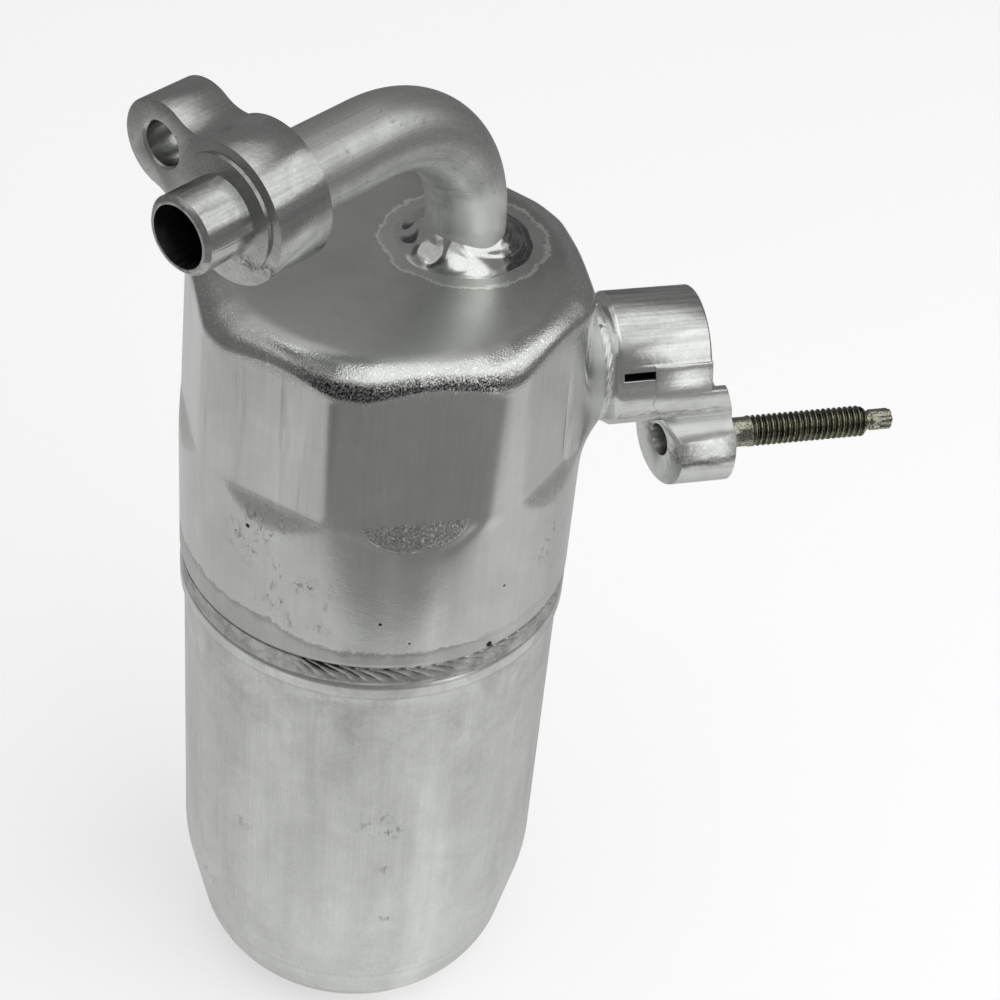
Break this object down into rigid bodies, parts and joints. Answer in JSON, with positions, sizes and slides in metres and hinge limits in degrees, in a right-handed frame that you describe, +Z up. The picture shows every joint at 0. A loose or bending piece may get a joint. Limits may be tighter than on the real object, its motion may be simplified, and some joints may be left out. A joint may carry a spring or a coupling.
{
  "type": "receiver drier",
  "caption": "Welded aluminium accumulator drier: can, eight-flat upper shell, bent inlet tube with pipe block, side outlet block with clamp stud, inner pickup tube and desiccant bags.",
  "frame": {"origin": "on the axis of the vessel, at the middle of the straight wall of the lower can, where the bracket band grips", "axes": "+Z up along the vessel, towards the inlet; +X along the outlet block, towards the clamp stud"},
  "size_m": [0.1985, 0.104, 0.2892],
  "materials": {
    "shell_aluminium": "drawn mill finish with fine lines, smudges and a dull heat-tinted band by the welds",
    "weld_aluminium": "bright rippled weld metal",
    "tube_aluminium": "satin drawn tube with light scratches",
    "block_aluminium": "extruded and machined, with die lines and turning marks",
    "braze_aluminium": "dull dark braze",
    "stud_steel": "zinc plated and olive passivated",
    "moulded_plastic": "natural moulded nylon",
    "sleeve_rubber": "moulded black rubber",
    "filter_mesh": "fine woven nylon mesh",
    "bag_felt": "needled polyester felt, quilted by the beads inside"
  },
  "bodies": {
    "root": {"upper_shell": "shell_aluminium", "lower_can": "shell_aluminium", "girth_weld": "weld_aluminium", "inlet_tube": "tube_aluminium", "inlet_tube_weld": "weld_aluminium", "inlet_block": "block_aluminium", "inlet_block_braze": "braze_aluminium", "outlet_block": "block_aluminium", "outlet_weld": "weld_aluminium", "clamp_stud": "stud_steel", "pickup_tube": "tube_aluminium", "outlet_sleeve_seal": "sleeve_rubber", "deflector": "moulded_plastic", "leg_spacer": "moulded_plastic", "oil_filter_cage": "moulded_plastic", "oil_filter_mesh": "filter_mesh", "desiccant_bag_front": "bag_felt", "desiccant_bag_rear": "bag_felt", "bag_tie": "moulded_plastic"}
  },
  "joints": []
}
